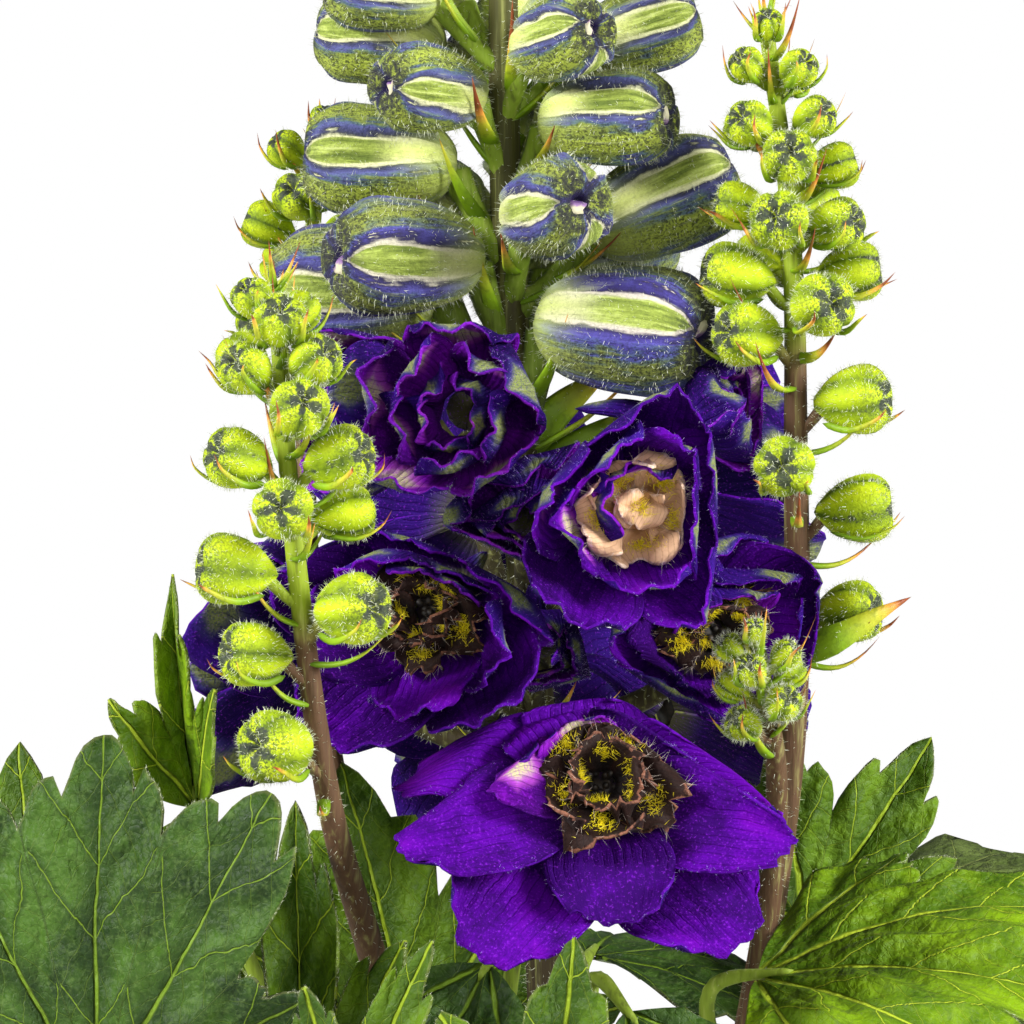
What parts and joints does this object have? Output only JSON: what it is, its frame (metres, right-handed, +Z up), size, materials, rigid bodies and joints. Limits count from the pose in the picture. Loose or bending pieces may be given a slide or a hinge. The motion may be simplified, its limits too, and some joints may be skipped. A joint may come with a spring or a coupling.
{
  "type": "delphinium plant in a pot",
  "caption": "Flowering delphinium in a plain round pot: a tall spike of purple flowers and hairy buds, slim side spikes and palm-shaped toothed leaves.",
  "frame": {"origin": "centre of the pot's underside", "axes": "+Z up along the flower spike; -Y is the front, where the lowest open flower faces; +X is to the right seen from the front"},
  "size_m": [0.2181, 0.212, 0.424],
  "materials": {
    "pot": "matte",
    "soil": "damp peat",
    "main_spike": "hairy green and violet",
    "side_spike": "hairy lime green",
    "leaf": "satin, veined",
    "petal": "velvety purple",
    "eye": "hairy dark brown"
  },
  "bodies": {
    "root": {"pot": "pot", "soil": "soil", "main_spike": "main_spike", "side_spike_left": "side_spike", "side_spike_right": "side_spike", "side_spike_back": "side_spike", "side_spike_short": "side_spike", "leaf_left_front": "leaf", "leaf_left_inner": "leaf", "leaf_left_upright": "leaf", "leaf_left_far": "leaf", "leaf_left_low": "leaf", "leaf_under_left": "leaf", "leaf_under_right": "leaf", "leaf_right_front": "leaf", "leaf_right_upper": "leaf", "leaf_right_far": "leaf", "leaf_middle": "leaf", "leaf_front": "leaf", "leaf_back_left": "leaf", "leaf_back": "leaf", "leaf_low_front": "leaf", "leaf_low_right": "leaf", "leaf_low_back": "leaf", "leaf_low_left": "leaf", "leaf_low_side": "leaf", "bloom_front_low": "petal", "bloom_front_low_eye": "eye", "bloom_left": "petal", "bloom_left_eye": "eye", "bloom_right": "petal", "bloom_right_eye": "eye", "bloom_centre": "petal", "bloom_centre_eye": "eye", "bloom_top": "petal", "bloom_top_left": "petal", "bloom_top_right": "petal", "bloom_back_right": "petal", "bloom_back_right_eye": "eye", "bloom_back_left": "petal", "bloom_back_left_eye": "eye", "bloom_side_right": "petal", "bloom_side_right_eye": "eye", "bloom_back_low": "petal", "bloom_back_low_eye": "eye", "bloom_back": "petal", "bloom_back_eye": "eye", "bloom_middle": "petal", "bloom_under": "petal"}
  },
  "joints": []
}
